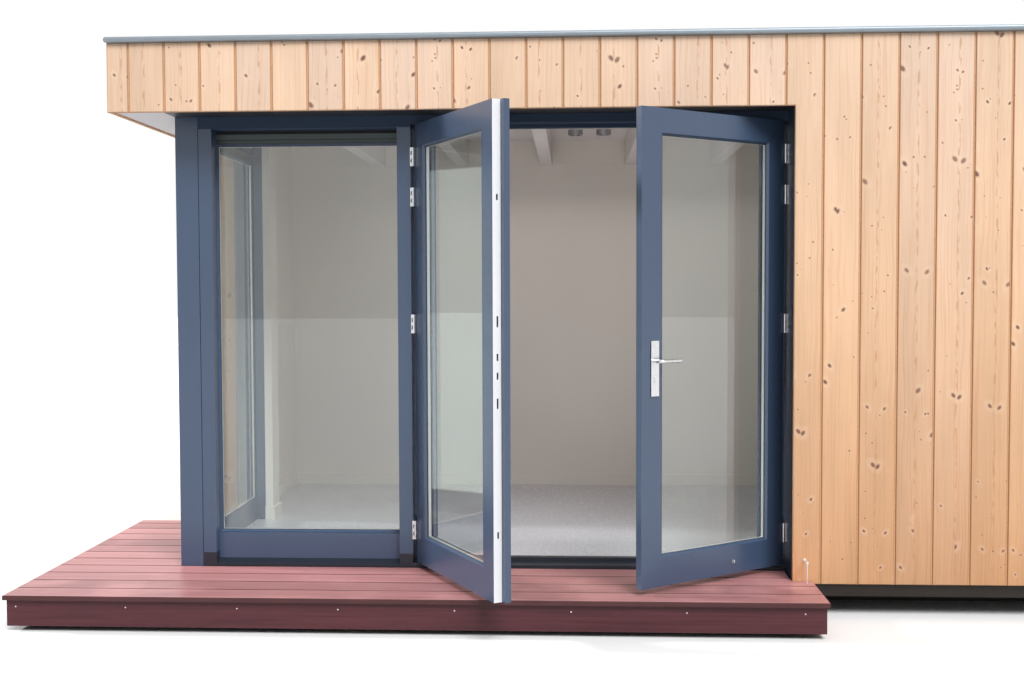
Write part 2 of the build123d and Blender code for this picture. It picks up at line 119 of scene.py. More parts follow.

# The softwood's figure: how far the pith strays, how steeply a pair of knots rises and how far apart
# its halves are, the share of pairs that lack one half on each side, the palest knot, how far the grain
# bends and wanders, the bands of flames and of the painted shade along the board edges, and the colours
PITH_STRAY = 0.05
KNOT_RISE = 0.45
KNOT_STEP = 0.004
LONE_SHARE = 0.32
PALEST_KNOT = 0.72
GRAIN_BEND = 0.006
GRAIN_WANDER = 0.04
FLAME_BAND = (0.0020, 0.009)
EDGE_SHADE_BAND = (0.0018, 0.0068)
FLAME = (0.60, 0.27, 0.12)
PALE = (1.0, 0.80, 0.60)
KNOT_RING = (0.52, 0.25, 0.14)
KNOT = (0.150, 0.060, 0.050)
PIN_KNOT = (0.20, 0.095, 0.070)
BOARD_EDGE_SHADE = (0.46, 0.225, 0.105)
WALL_HEIGHT = 2.7

# Texture scales of the hardwood along and across its grain
GRAIN_SCALES = (1.6, 60)
PORE_SCALES = (9, 420)

# Camera, lamps, sky and floor, with angles in degrees; the camera's turn is yaw, pitch and roll, a sun
# has its direction, strength, angle and colour, and a room light its place, target, size and power
FOCAL_PIXELS = 1225
PHOTO_WIDTH = 1024
SENSOR_MM = 36
CAMERA_PLACE = (-0.3735, -7.0933, 1.5164)
CAMERA_TURN = (-2.90, 2.43, 0.19)
SUNS = (("key", (1.0, -0.095, -0.451), 2.7, 6, (1.0, 0.99, 0.98)),
        ("fill", (-0.30, 0.61, -0.735), 2.95, 30, (0.985, 0.99, 1.0)),
        ("back", (-0.55, -0.62, -0.56), 1.2, 40, (1, 1, 1)))
ROOM_LIGHTS = (("room_light", (0.0, 0.1, 2.15), (0.0, 0.1, 0.0), (3.2, 1.6), 6),
               ("door_light", (-0.3, -0.95, 1.1), (-0.3, 1.1, 1.45), (1.6, 1.4), 7))
ROOM_COLOUR = (1.0, 0.97, 0.94)
SKY_COLOUR = (0.93, 0.96, 1.0, 1)
SKY_LEVELS = (0.10, 0.62)
SKY_FULL_AT = 0.6
FLOOR_LIT = (0.29, 0.285, 0.28)
FLOOR_SEEN = (0.86, 0.86, 0.85)
FLOOR_REACH = 60
VIEW_REACH = 200

# Places nearer to each other than NEAR count as the same; ROUNDING is a share of a board; MIDDLE_TONE
# stands for the random value of pieces without a tone of their own
NEAR = 1e-4
ROUNDING = 1e-6
MIDDLE_TONE = 0.5


# Node helpers
def empty_material(name):
    mat = bpy.data.materials.new(name)
    mat.use_nodes = True
    tree = mat.node_tree
    tree.nodes.clear()
    return mat, tree, tree.nodes.new("ShaderNodeOutputMaterial")


def new_material(name):
    mat, tree, out = empty_material(name)
    shader = tree.nodes.new("ShaderNodeBsdfPrincipled")
    tree.links.new(shader.outputs[0], out.inputs[0])
    return mat, tree, shader


def plug(tree, socket, value):
    """Links another node's output to a socket, or sets a plain value on it."""
    if isinstance(value, bpy.types.NodeSocket):
        tree.links.new(value, socket)
    else:
        socket.default_value = value


def node(tree, kind, inputs=None, **settings):
    n = tree.nodes.new(kind)
    for key, value in settings.items():
        setattr(n, key, value)
    for key, value in (inputs or {}).items():
        plug(tree, n.inputs[key], value)
    return n


def noise(tree, vector, scale, detail, **more):
    """A noise value; more names further sockets of the node."""
    inputs = {"Vector": vector, "Scale": scale, "Detail": detail}
    return node(tree, "ShaderNodeTexNoise", {**inputs, **more}).outputs["Fac"]


def spread(tree, value, low, high, from_low=0.0, from_high=1.0, kind="LINEAR"):
    """Maps a value from one range to another."""
    inputs = {"Value": value, "From Min": from_low, "From Max": from_high, "To Min": low, "To Max": high}
    return node(tree, "ShaderNodeMapRange", inputs, interpolation_type=kind).outputs[0]


def ramp(tree, fac, stops):
    """A colour ramp through (place, colour) stops."""
    n = tree.nodes.new("ShaderNodeValToRGB")
    tree.links.new(fac, n.inputs[0])
    elements = n.color_ramp.elements
    while len(elements) < len(stops):
        elements.new(0.5)
    for element, (place, colour) in zip(elements, stops):
        element.position = place
        element.color = (*colour, 1)
    return n.outputs[0]


def mix(tree, fac, a, b, blend="MIX"):
    n = node(tree, "ShaderNodeMix", data_type="RGBA", blend_type=blend)
    for socket, value in ((n.inputs[0], fac), (n.inputs[6], a), (n.inputs[7], b)):
        plug(tree, socket, (*value, 1) if isinstance(value, tuple) else value)
    return n.outputs[2]


def math_node(tree, operation, a, b=None):
    n = node(tree, "ShaderNodeMath", operation=operation)
    plug(tree, n.inputs[0], a)
    if b is not None:
        plug(tree, n.inputs[1], b)
    return n.outputs[0]


def bump(tree, shader, height, strength, distance):
    n = node(tree, "ShaderNodeBump", {"Strength": strength, "Distance": distance, "Height": height})
    tree.links.new(n.outputs[0], shader.inputs["Normal"])


def coordinates(tree, scale, offset=None):
    """Object coordinates stretched by scale, and shifted by offset so that boards don't repeat."""
    vector = tree.nodes.new("ShaderNodeTexCoord").outputs["Object"]
    if offset is not None:
        vector = node(tree, "ShaderNodeVectorMath", {0: vector, 1: offset}, operation="ADD").outputs[0]
    return node(tree, "ShaderNodeMapping", {"Vector": vector, "Scale": scale}).outputs[0]


def attribute(tree, name):
    return node(tree, "ShaderNodeAttribute", attribute_name=name).outputs["Fac"]


def board_offset(tree):
    """A vector from the board's own random value, so that each board has its own grain."""
    value = attribute(tree, "board")
    steps = {axis: math_node(tree, "MULTIPLY", value, step) for axis, step in enumerate((37.0, 53.0, 71.0))}
    return node(tree, "ShaderNodeCombineXYZ", steps).outputs[0], value


def grey(tree, level):
    return node(tree, "ShaderNodeCombineColor", {0: level, 1: level, 2: level}).outputs[0]


# Materials
def paint(name, colour, roughness, grain, variation, coat=0.0, specular=0.5):
    """Painted surface: slight mottling, brush grain along one axis and soft gloss changes."""
    mat, tree, shader = new_material(name)
    fine = noise(tree, coordinates(tree, grain), 6.0, 6.0)
    broad = noise(tree, coordinates(tree, (1.2, 1.2, 0.8)), 1.5, 3.0)
    dark = tuple(c * (1 - variation) for c in colour)
    light = tuple(min(1, c * (1 + variation)) for c in colour)
    shade = ramp(tree, broad, ((0.3, dark), (0.7, light)))
    shade = mix(tree, 0.25, shade, ramp(tree, fine, ((0.35, dark), (0.65, light))))
    plug(tree, shader.inputs["Base Color"], shade)
    plug(tree, shader.inputs["Roughness"], spread(tree, fine, roughness - 0.05, roughness + 0.08, 0.3, 0.7))
    shader.inputs["Coat Weight"].default_value = coat
    shader.inputs["Coat Roughness"].default_value = 0.2
    shader.inputs["Specular IOR Level"].default_value = specular
    bump(tree, shader, fine, 0.10, 0.0005)
    return mat


def softwood(name, warm, cool, dark, weather):
    """Softwood boards: straight grain, a pith line with reddish flames, mirrored knots, and brown painted
    shade along the edges beside the grooves.
    """
    mat, tree, shader = new_material(name)

    def calc(operation, a, b=None):
        return math_node(tree, operation, a, b)

    def plane(x, y, x_scale, y_scale):
        return node(tree, "ShaderNodeCombineXYZ", {0: calc("MULTIPLY", x, x_scale),
                                                   1: calc("MULTIPLY", y, y_scale)}).outputs[0]

    def fall(value, start, end):
        """1 up to start, and down to 0 at end."""
        return spread(tree, value, 1.0, 0.0, start, end, "SMOOTHSTEP")

    def chance(value, factor):
        """Another random value from a first one."""
        return calc("FRACT", calc("MULTIPLY", value, factor))

    across = attribute(tree, "across")
    half = attribute(tree, "half")
    value = attribute(tree, "board")
    second = chance(value, 7.31)
    third = chance(value, 13.7)
    height = node(tree, "ShaderNodeSeparateXYZ", {0: coordinates(tree, (1, 1, 1))}).outputs[2]
    pith = calc("MULTIPLY", calc("SUBTRACT", second, 0.5), PITH_STRAY)
    centred = calc("SUBTRACT", across, pith)
    side = calc("ABSOLUTE", centred)
    own = calc("ADD", height, calc("MULTIPLY", value, 31.0))

    def knots(x, y, scale, share, smallest, largest, halo_to, paired):
        """Cores, rings and halos of a share of the cells; with paired, some knots lack their mirror image."""
        cells = node(tree, "ShaderNodeTexVoronoi", {"Vector": plane(x, y, scale, scale), "Scale": 1.0,
                                                    "Randomness": 0.9}, voronoi_dimensions="2D", feature="F1")
        lot = node(tree, "ShaderNodeSeparateColor", {0: cells.outputs["Color"]}).outputs[2]
        chosen = calc("LESS_THAN", lot, share)
        radius = spread(tree, calc("POWER", chance(lot, 23.7), 1.5), smallest * scale, largest * scale)
        chosen = calc("MULTIPLY", chosen, spread(tree, chance(lot, 57.3), PALEST_KNOT, 1.0))
        if paired:
            toss = chance(lot, 91.3)
            right = calc("GREATER_THAN", centred, 0.0)
            left = calc("SUBTRACT", 1.0, right)
            drop_right = calc("MULTIPLY", calc("LESS_THAN", toss, LONE_SHARE), right)
            drop_left = calc("MULTIPLY", calc("GREATER_THAN", toss, 1 - LONE_SHARE), left)
            dropped = calc("MAXIMUM", drop_right, drop_left)
            chosen = calc("MULTIPLY", chosen, calc("SUBTRACT", 1.0, dropped))
        near = calc("DIVIDE", cells.outputs["Distance"], radius)
        return [calc("MULTIPLY", fall(near, start, end), chosen)
                for start, end in ((0.60, 0.95), (0.9, 1.45), (1.2, halo_to))]

    # Knots mirrored about the pith, rising outwards in a shallow V
    rising = calc("SUBTRACT", own, calc("MULTIPLY", side, KNOT_RISE))
    rising = calc("ADD", rising, calc("MULTIPLY", calc("SIGN", centred), KNOT_STEP))
    core, ring, halo = knots(side, rising, 8.0, share=0.56, smallest=0.0050, largest=0.0145, halo_to=3.6,
                             paired=True)
    pin, pin_ring, pin_halo = knots(across, own, 15.0, share=0.19, smallest=0.0026, largest=0.0060,
                                    halo_to=2.4, paired=False)

    # Grain lines bend round the knots
    line = calc("ADD", centred, calc("MULTIPLY", halo, GRAIN_BEND))
    warp = noise(tree, plane(centred, own, 5.0, 2.4), 1.0, 2.0)
    line = calc("ADD", line, calc("MULTIPLY", warp, GRAIN_WANDER))
    grain = noise(tree, plane(line, own, 120.0, 1.1), 1.0, 2.0, Roughness=0.6)
    fibre = noise(tree, plane(across, own, 420.0, 7.0), 1.0, 2.0)
    broad = noise(tree, plane(across, own, 7.0, 1.1), 1.0, 3.0)
    flame = noise(tree, plane(centred, own, 110.0, 17.0), 1.0, 1.0)

    # Tone of the board, its grain, and the weathering up the wall
    base = mix(tree, spread(tree, third, 0.0, 0.85, 0.45, 0.95), warm, cool)
    base = mix(tree, spread(tree, grain, 0.0, 0.52, 0.48, 0.74), base, dark)
    base = mix(tree, spread(tree, fibre, 0.0, 0.45, 0.5, 0.9), base, dark)
    tone = calc("MULTIPLY", spread(tree, value, 0.93, 1.04), spread(tree, broad, 0.90, 1.06, 0.3, 0.7))
    base = mix(tree, 1.0, base, grey(tree, tone), "MULTIPLY")
    base = mix(tree, 1.0, base, ramp(tree, calc("DIVIDE", height, WALL_HEIGHT), weather), "MULTIPLY")

    # Flames along the pith, knots, and painted shade on the board's edges, brown towards the groove
    dash = calc("MULTIPLY", fall(side, *FLAME_BAND), fall(flame, 0.58, 0.50))
    dash = calc("MULTIPLY", dash, calc("GREATER_THAN", third, 0.25))
    rings = calc("MAXIMUM", ring, pin_ring)
    # Brown band along each board's edges: painted shade of the chamfers beside the groove
    edge = fall(calc("SUBTRACT", half, calc("ABSOLUTE", across)), *EDGE_SHADE_BAND)
    for mask, amount, colour in ((dash, 0.55, FLAME), (halo, 0.22, PALE), (pin_halo, 0.10, PALE),
                                 (rings, 0.45, KNOT_RING), (core, 0.92, KNOT), (pin, 0.80, PIN_KNOT),
                                 (edge, 0.78, BOARD_EDGE_SHADE)):
        base = mix(tree, calc("MULTIPLY", mask, amount), base, colour)
    plug(tree, shader.inputs["Base Color"], base)
    plug(tree, shader.inputs["Roughness"], spread(tree, fibre, 0.55, 0.8))
    relief = calc("ADD", grain, calc("MULTIPLY", fibre, 0.4))
    relief = calc("SUBTRACT", relief, calc("MULTIPLY", core, 0.5))
    bump(tree, shader, relief, 0.22, 0.0010)
    return mat


def hardwood(name, light, dark, axis):
    """Oiled hardwood with fine grain along one axis and a tone of its own for each board."""
    mat, tree, shader = new_material(name)
    offset, value = board_offset(tree)
    grain_scale, pore_scale = (tuple(along if a == axis else across for a in "xyz")
                               for along, across in (GRAIN_SCALES, PORE_SCALES))
    grain = noise(tree, coordinates(tree, grain_scale, offset), 1.0, 5.0, Distortion=0.4)
    pores = noise(tree, coordinates(tree, pore_scale, offset), 1.0, 2.0)
    stain = noise(tree, coordinates(tree, (2.2, 2.2, 2.2)), 1.6, 4.0)
    base = ramp(tree, grain, ((0.3, dark), (0.7, light)))
    base = mix(tree, 0.25, base, ramp(tree, pores, ((0.35, dark), (0.65, light))))
    base = mix(tree, 1.0, base, grey(tree, spread(tree, value, 0.68, 1.25)), "MULTIPLY")
    worn = spread(tree, stain, 0.0, 0.35, 0.5, 0.75)
    base = mix(tree, worn, base, tuple(c * 1.25 for c in light))
    plug(tree, shader.inputs["Base Color"], base)
    plug(tree, shader.inputs["Roughness"], spread(tree, grain, 0.28, 0.46))
    shader.inputs["Specular IOR Level"].default_value = 0.3
    bump(tree, shader, pores, 0.2, 0.0006)
    return mat


def metal(name, colour, roughness, brushed=(90, 90, 8), metallic=1.0):
    mat, tree, shader = new_material(name)
    streak = noise(tree, coordinates(tree, brushed), 3.0, 3.0)
    dark = tuple(c * 0.88 for c in colour)
    plug(tree, shader.inputs["Base Color"], ramp(tree, streak, ((0.3, dark), (0.7, colour))))
    shader.inputs["Metallic"].default_value = metallic
    plug(tree, shader.inputs["Roughness"], spread(tree, streak, roughness - 0.06, roughness + 0.1))
    bump(tree, shader, streak, 0.06, 0.0003)
    return mat


def window_glass(name):
    """Clear sealed glass: mostly see-through, with a mirror share that grows at a slant on both faces."""
    mat, tree, out = empty_material(name)
    clear = node(tree, "ShaderNodeBsdfTransparent", {"Color": (0.93, 0.96, 0.95, 1)})
    gloss = node(tree, "ShaderNodeBsdfGlossy", {"Color": (1, 1, 1, 1), "Roughness": 0.01})
    facing = node(tree, "ShaderNodeLayerWeight", {"Blend": 0.5})
    slant = math_node(tree, "POWER", facing.outputs["Facing"], 4.0)
    smear = noise(tree, coordinates(tree, (1, 1, 0.4)), 3.0, 3.0)
    weight = math_node(tree, "MULTIPLY", spread(tree, slant, 0.06, 0.9), spread(tree, smear, 0.9, 1.15))
    blend = node(tree, "ShaderNodeMixShader", {0: weight, 1: clear.outputs[0], 2: gloss.outputs[0]})
    tree.links.new(blend.outputs[0], out.inputs[0])
    return mat


def rubber(name, colour, roughness):
    mat, tree, shader = new_material(name)
    speck = noise(tree, coordinates(tree, (60, 60, 60)), 4.0, 4.0)
    light = tuple(c * 1.4 for c in colour)
    plug(tree, shader.inputs["Base Color"], ramp(tree, speck, ((0.35, colour), (0.7, light))))
    shader.inputs["Roughness"].default_value = roughness
    bump(tree, shader, speck, 0.15, 0.0008)
    return mat


SOFTWOOD = softwood("cladding_boards", (0.94, 0.67, 0.475), (0.93, 0.69, 0.535), (0.78, 0.44, 0.25),
                    ((0.05, (0.74, 0.56, 0.40)), (0.5, (0.95, 0.86, 0.75)), (0.95, (1.0, 1.0, 1.0))))
GROOVE = rubber("groove_wood", (0.72, 0.42, 0.22), 0.8)
DECK = hardwood("deck_hardwood", (0.62, 0.305, 0.300), (0.360, 0.130, 0.132), "x")
# Darker copy of the deck wood for the sides and arrises of the deck boards: painted shade on faces turned
# away from the light from above
DECK_SIDE_SHADE = hardwood("deck_board_sides_painted_shade", (0.130, 0.046, 0.048), (0.080, 0.026, 0.028), "x")
# Darker copies of the deck wood for the fascia and its end boards: painted shade on faces turned away from
# the light from above
FASCIA_SHADE = hardwood("deck_fascia_painted_shade", (0.098, 0.028, 0.034), (0.050, 0.013, 0.017), "x")
FASCIA_END_SHADE = hardwood("deck_end_painted_shade", (0.098, 0.028, 0.034), (0.050, 0.013, 0.017), "y")
ROUGH = hardwood("sawn_timber", (0.040, 0.029, 0.022), (0.022, 0.016, 0.012), "x")
JOINERY = paint("joinery_paint", (0.049, 0.082, 0.148), 0.32, (55, 55, 3), 0.05, coat=0.38)
# Darker, matte copy of the joinery paint for the frame heads: painted shade under the roof overhang
HEAD_SHADE = paint("head_painted_shade", (0.041, 0.065, 0.114), 0.60, (3, 55, 55), 0.06, specular=0.2)
# Much darker copy of the joinery paint for the reveal panel: painted shade of the pocket behind the open
# right leaf
REVEAL_SHADE = paint("reveal_painted_shade", (0.022, 0.033, 0.056), 0.45, (40, 40, 5), 0.06, coat=0.1)
DARK = paint("dark_trim_paint", (0.012, 0.016, 0.026), 0.40, (5, 40, 40), 0.12, coat=0.1)
SOFFIT = paint("soffit_paint", (0.008, 0.010, 0.016), 0.5, (5, 40, 40), 0.12)
VENT = metal("vent_metal", (0.060, 0.075, 0.075), 0.45, (8, 90, 90), 0.3)
WHITE = paint("white_paint", (0.74, 0.68, 0.63), 0.55, (20, 20, 20), 0.03)
CEILING = paint("ceiling_paint", (0.74, 0.70, 0.68), 0.6, (20, 20, 20), 0.03)
SIDE_SOFFIT = paint("side_soffit_paint", (0.92, 0.92, 0.94), 0.5, (30, 6, 30), 0.03)
FLOOR = paint("sheet_floor", (0.52, 0.51, 0.55), 0.22, (30, 30, 30), 0.07, coat=0.2)
STEEL = metal("satin_steel", (0.66, 0.66, 0.68), 0.26)
# Bright zinc plating on the wind hook, its pivot and eye, made lighter than the steel parts as a painted
# sunlit highlight
ZINC_SUNLIT = metal("bright_zinc_painted_highlight", (0.86, 0.86, 0.88), 0.42, metallic=0.7)
# White paint on the strike strip of the left leaf's free edge: painted reflection of the sky in a polished
# steel strip
STRIP_REFLECTION = paint("strike_strip_painted_reflection", (0.90, 0.90, 0.92), 0.30, (40, 40, 5), 0.03)
TRIM = metal("roof_edge_metal", (0.27, 0.310, 0.345), 0.42, (6, 60, 60), 0.6)
ROOF = rubber("roof_membrane", (0.05, 0.05, 0.055), 0.75)
GLASS = window_glass("clear_glass")
SEAL = rubber("glazing_seal", (0.018, 0.018, 0.020), 0.5)
# Near-black fill for the vent slots: painted shade of the open air gaps
SLOT_SHADE = rubber("vent_slot_painted_shade", (0.006, 0.006, 0.007), 0.8)
BAR = metal("pane_spacer", (0.82, 0.82, 0.82), 0.35, metallic=0.5)
NAIL = metal("nail_heads", (0.20, 0.15, 0.12), 0.45)
LAMP = metal("light_ring", (0.46, 0.455, 0.48), 0.3)
LENS = paint("lamp_lens", (0.80, 0.80, 0.82), 0.15, (60, 60, 60), 0.05, coat=0.5)

NODE_MATERIALS = {
    WHITE: ("front_wall", "left_wall", "back_wall", "right_wall", "front_lintel", "side_lintel", "skirting"),
    CEILING: ("ceiling", "ceiling_joists"),
    SIDE_SOFFIT: ("side_soffit",),
    HEAD_SHADE: ("frame_heads",),
    JOINERY: ("corner_post", "front_frame_uprights", "side_frame_stiles", "window_bottom_rails",
              "left_leaf_stiles", "left_leaf_rails", "right_leaf_stiles", "right_leaf_rails"),
    REVEAL_SHADE: ("reveal_panel",),
    DARK: ("sills", "front_plinth_blocks", "side_plinth_blocks"),
    SOFFIT: ("front_soffit",),
    VENT: ("vent_grilles",),
    GLASS: ("window_glass", "left_leaf_glass", "right_leaf_glass"),
    STEEL: ("frame_hinges", "left_leaf_hinges", "right_leaf_hinges", "lock_plates", "lever_handle"),
    ZINC_SUNLIT: ("hook_pivot", "wind_hook", "leaf_hook_eye"),
    STRIP_REFLECTION: ("left_strike_plates",),
    TRIM: ("roof_edge_long", "roof_edge_short"),
    ROOF: ("roof",),
    FLOOR: ("floor",),
    ROUGH: ("foundation_sleepers", "floor_frame", "deck_bearers"),
    LAMP: ("downlights",),
}
for material, names in NODE_MATERIALS.items():
    for name in names:
        NODES[name].data.materials.clear()
        NODES[name].data.materials.append(material)

# Small rounded edges on the joinery
for name in (*NODE_MATERIALS[JOINERY], "frame_heads", "sills"):
    bevel = NODES[name].modifiers.new("edge", "BEVEL")
    bevel.width = EDGE_ROUNDING
    bevel.segments = 2
    bevel.limit_method = "ANGLE"
    bevel.angle_limit = math.radians(EDGE_ANGLE)
    bevel.harden_normals = True


class Builder:
    """Collects boxes, boards and heads into one mesh, with a random value for each of them."""

    def __init__(self, seed):
        self.verts, self.faces, self.slots, self.values = [], [], [], []
        self.across, self.halves = [], []
        self.random = random.Random(seed)

    def add(self, corners, quads, slot, value, across=None, half=1.0):
        base = len(self.verts)
        self.verts += corners
        self.across += across or [0.0] * len(corners)
        self.halves += [half] * len(quads)
        self.values += [value] * len(quads)
        self.slots += slot if isinstance(slot, list) else [slot] * len(quads)
        self.faces += [[base + i for i in quad] for quad in quads]

    def block(self, corners, slot):
        """A box from its eight corners, the first axis changing fastest."""
        quads = ((0, 2, 3, 1), (4, 5, 7, 6), (0, 1, 5, 4), (2, 6, 7, 3), (0, 4, 6, 2), (1, 3, 7, 5))
        self.add(corners, quads, slot, MIDDLE_TONE)

    def cuboid(self, low, high, slot):
        (x0, y0, z0), (x1, y1, z1) = low, high
        self.block([(x, y, z) for z in (z0, z1) for y in (y0, y1) for x in (x0, x1)], slot)

    def board(self, low, high, face_axis, outward, arris, slot=0, value=None, run=0, flush=(), span=None,
              sides=None):
        """A board whose face has slanted edges, but for the (axis, end) pairs in flush.

        run is the axis across its width, span the ends of the whole board where this is a piece of one,
        and sides the material of its edges and their slants."""
        value = self.random.random() if value is None else value
        axes = [a for a in range(3) if a != face_axis]
        front = high[face_axis] if outward > 0 else low[face_axis]
        back = low[face_axis] if outward > 0 else high[face_axis]
        shoulder = front - outward * arris
        corners = []
        for depth, inset in ((back, 0), (shoulder, 0), (front, arris)):
            for b in (0, 1):
                for a in (0, 1):
                    p = [0, 0, 0]
                    p[face_axis] = depth
                    for axis, end in ((axes[0], a), (axes[1], b)):
                        slant = 0 if (axis, end) in flush else inset
                        p[axis] = low[axis] + slant if end == 0 else high[axis] - slant
                    corners.append(tuple(p))
        quads = [(0, 2, 3, 1), (8, 9, 11, 10)]
        for start in (0, 4):
            for i, j in ((0, 1), (1, 3), (3, 2), (2, 0)):
                quads.append((start + i, start + j, start + j + 4, start + i + 4))
        left, right = span or (low[run], high[run])
        across = [c[run] - (left + right) / 2 for c in corners]
        edge = slot if sides is None else sides
        self.add(corners, quads, [slot] * 2 + [edge] * 8, value, across, (right - left) / 2)

    def disc(self, centre, axis, outward, radius, height, slot=0, sides=10):
        """A low domed head standing on a face."""
        value = self.random.random()
        axes = [a for a in range(3) if a != axis]
        rings = ((0.0, 1.0), (0.6, 0.9), (1.0, 0.5))
        corners = []
        for rise, width in rings:
            for k in range(sides):
                angle = 2 * math.pi * k / sides
                p = list(centre)
                p[axis] += outward * height * rise
                p[axes[0]] += radius * width * math.cos(angle)
                p[axes[1]] += radius * width * math.sin(angle)
                corners.append(tuple(p))
        quads = [tuple(range(2 * sides, 3 * sides))]
        for ring in range(len(rings) - 1):
            for k in range(sides):
                a, b = ring * sides + k, ring * sides + (k + 1) % sides
                quads.append((a, b, b + sides, a + sides))
        self.add(corners, quads, slot, value)

    def finish(self, name, materials, replaced=(), body="building"):
        mesh = bpy.data.meshes.new(name)
        mesh.from_pydata(self.verts, [], self.faces)
        for material in materials:
            mesh.materials.append(material)
        mesh.polygons.foreach_set("material_index", self.slots)
        for key, domain, values in (("board", "FACE", self.values), ("half", "FACE", self.halves),
                                    ("across", "POINT", self.across)):
            mesh.attributes.new(key, "FLOAT", domain).data.foreach_set("value", values)
        work = bmesh.new()
        work.from_mesh(mesh)
        bmesh.ops.recalc_face_normals(work, faces=work.faces)
        work.to_mesh(mesh)
        work.free()
        obj = bpy.data.objects.new(name, mesh)
        bpy.context.scene.collection.objects.link(obj)
        if replaced:
            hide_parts(*replaced)
        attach(obj, body)


# Cladding
def board_edges(start, end, origin):
    """Edges of the boards between start and end, on the grid of joints that passes through origin."""
    edges = [start]
    k = math.ceil((start - origin) / BOARD_COVER - ROUNDING)
    while origin + k * BOARD_COVER < end - NEAR:
        joint = origin + k * BOARD_COVER
        if joint > start + LEAST_STRIP:
            edges.append(joint)
        k += 1
    edges.append(end)
    return edges


def nail_board(made, start, end, face_axis, run, front, outward, bottom, top):
    """Two nails at each level of a board that is wide enough for them."""
    if end - start < NAILED_WIDTH:
        return
    for level in NAIL_LEVELS:
        z = bottom + level
        if z > top - NAIL_TOP_GAP:
            continue
        for across in (NAIL_INSET, end - start - NAIL_INSET):
            centre = [0, 0, z + made.random.uniform(-NAIL_SCATTER, NAIL_SCATTER)]
            centre[run] = start + across
            centre[face_axis] = front - outward * NAIL_HEIGHT
            made.disc(centre, face_axis, outward, NAIL_RADIUS, NAIL_HEIGHT, 2)


def clad(name, nodes, face_axis, outward, seed, notch=None):
    """Boards over cladding slabs in a plane, on a backing that shows in the grooves.

    notch is the corner (across, up) of an opening, round which one board is cut in one piece."""
    boxes = [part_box(n) for n in nodes]
    run = 1 - face_axis
    made = Builder(seed)
    low_run = min(b[0][run] for b in boxes)
    high_run = max(b[1][run] for b in boxes)
    if run == 0:
        body_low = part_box("cladding_back")[0][0] - CORNER_LAP
    else:
        body_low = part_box("cladding_left")[1][1] - BODY_DEPTH
    for low, high in boxes:
        front, back, face_end = (high, low, 1) if outward > 0 else (low, high, 0)
        backing_face = back[face_axis] + outward * BOARD_BACKING
        inner = list(low), list(high)
        inner[face_end][face_axis] = backing_face
        made.cuboid(*inner, slot=1)
        edges = board_edges(low[run], high[run], body_low + EDGE_BOARD)
        for a, b in zip(edges, edges[1:]):
            p, q = list(low), list(high)
            after_notch = notch is not None and abs(a - notch[0]) < NEAR
            before_notch = notch is not None and abs(b - notch[0]) < NEAR
            left_gap = 0 if after_notch or a <= low_run + NEAR else BOARD_GROOVE / 2
            right_gap = 0 if before_notch or b >= high_run - NEAR else BOARD_GROOVE / 2
            p[run], q[run] = a + left_gap, b - right_gap
            (q, p)[face_end][face_axis] = backing_face
            value = made.random.random()
            if after_notch:
                shared = value
                span = (b - BOARD_COVER + BOARD_GROOVE / 2, b - BOARD_GROOVE / 2)
                top = list(q)
                q[2] = notch[1]
                made.board(p, q, face_axis, outward, BOARD_ARRIS, 0, value, run, ((2, 1),), span)
                p[2] = notch[1]
                made.board(p, top, face_axis, outward, BOARD_ARRIS, 0, value, run, ((run, 0), (2, 0)), span)
            elif before_notch:
                span = (a + BOARD_GROOVE / 2, a + BOARD_COVER - BOARD_GROOVE / 2)
                made.board(p, q, face_axis, outward, BOARD_ARRIS, 0, shared, run, ((run, 1),), span)
            else:
                made.board(p, q, face_axis, outward, BOARD_ARRIS, 0, value, run)
            nail_board(made, a, b, face_axis, run, front[face_axis], outward, low[2], high[2])
    made.finish(name, (SOFTWOOD, GROOVE, NAIL), nodes)


opening_corner = (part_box("cladding_front")[0][0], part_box("cladding_fascia")[0][2])
clad("front_cladding_boards", ("cladding_front", "cladding_fascia"), 1, -1, 11, notch=opening_corner)
clad("back_cladding_boards", ("cladding_back",), 1, 1, 12)
clad("left_cladding_boards", ("cladding_left", "cladding_left_fascia"), 0, -1, 13)
clad("right_cladding_boards", ("cladding_right",), 0, 1, 14)
clad("return_cladding_boards", ("cladding_return",), 1, -1, 15)


# Deck
def row_spans(x0, x1, y0, y1, corner_x, corner_y):
    """One row of deck boards, cut round a wall that fills the corner beyond (corner_x, corner_y)."""
    if y1 <= corner_y:
        return [(x0, x1, y0, y1)]
    if y0 > corner_y - LEAST_ROW:
        return [(x0, corner_x, y0, y1)]
    return [(x0, corner_x, y0, y1), (corner_x, x1, y0, corner_y)]


def deck_rows():
    """Deck boards over the two deck slabs, with rows of screws over the bearers."""
    made = Builder(21)
    low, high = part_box("deck_boards")
    clad_left, front_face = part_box("cladding_front")[0][:2]
    post_left, frame_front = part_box("corner_post")[0][:2]
    wall_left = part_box("cladding_left")[0][0]
    wall_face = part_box("cladding_return")[0][1]
    y = low[1]
    while y < high[1] - LEAST_ROW:
        end = min(y + DECK_PITCH - DECK_GAP, high[1])
        if y < frame_front - FRAME_ROW:
            spans = row_spans(low[0], high[0], y, min(end, frame_front - FRAME_GAP), clad_left - WALL_GAP,
                              front_face - WALL_GAP)
        else:
            spans = row_spans(low[0], post_left, y, end, wall_left - WALL_GAP, wall_face - WALL_GAP)
        value = made.random.random()
        for k, (x0, x1, y0, y1) in enumerate(spans):
            flush = () if len(spans) == 1 else ((0, 1 - k),)
            made.board((x0, y0, low[2]), (x1, y1, high[2]), 2, 1, DECK_ARRIS, 0, value, 1, flush, sides=2)
            for place in BEARERS:
                x = low[0] + place
                if x0 < x < x1 - SCREW_END and y1 - y0 > SCREW_ROW:
                    for side in (y0 + SCREW_INSET, y1 - SCREW_INSET):
                        made.disc((x, side, high[2] - SCREW_SUNK), 2, 1, SCREW_RADIUS, SCREW_HEIGHT, 1)
        y += DECK_PITCH
    # The sides and arrises of the boards get the darker deck wood: painted shade
    made.finish("deck_board_rows", (DECK, STEEL, DECK_SIDE_SHADE), ("deck_boards",))


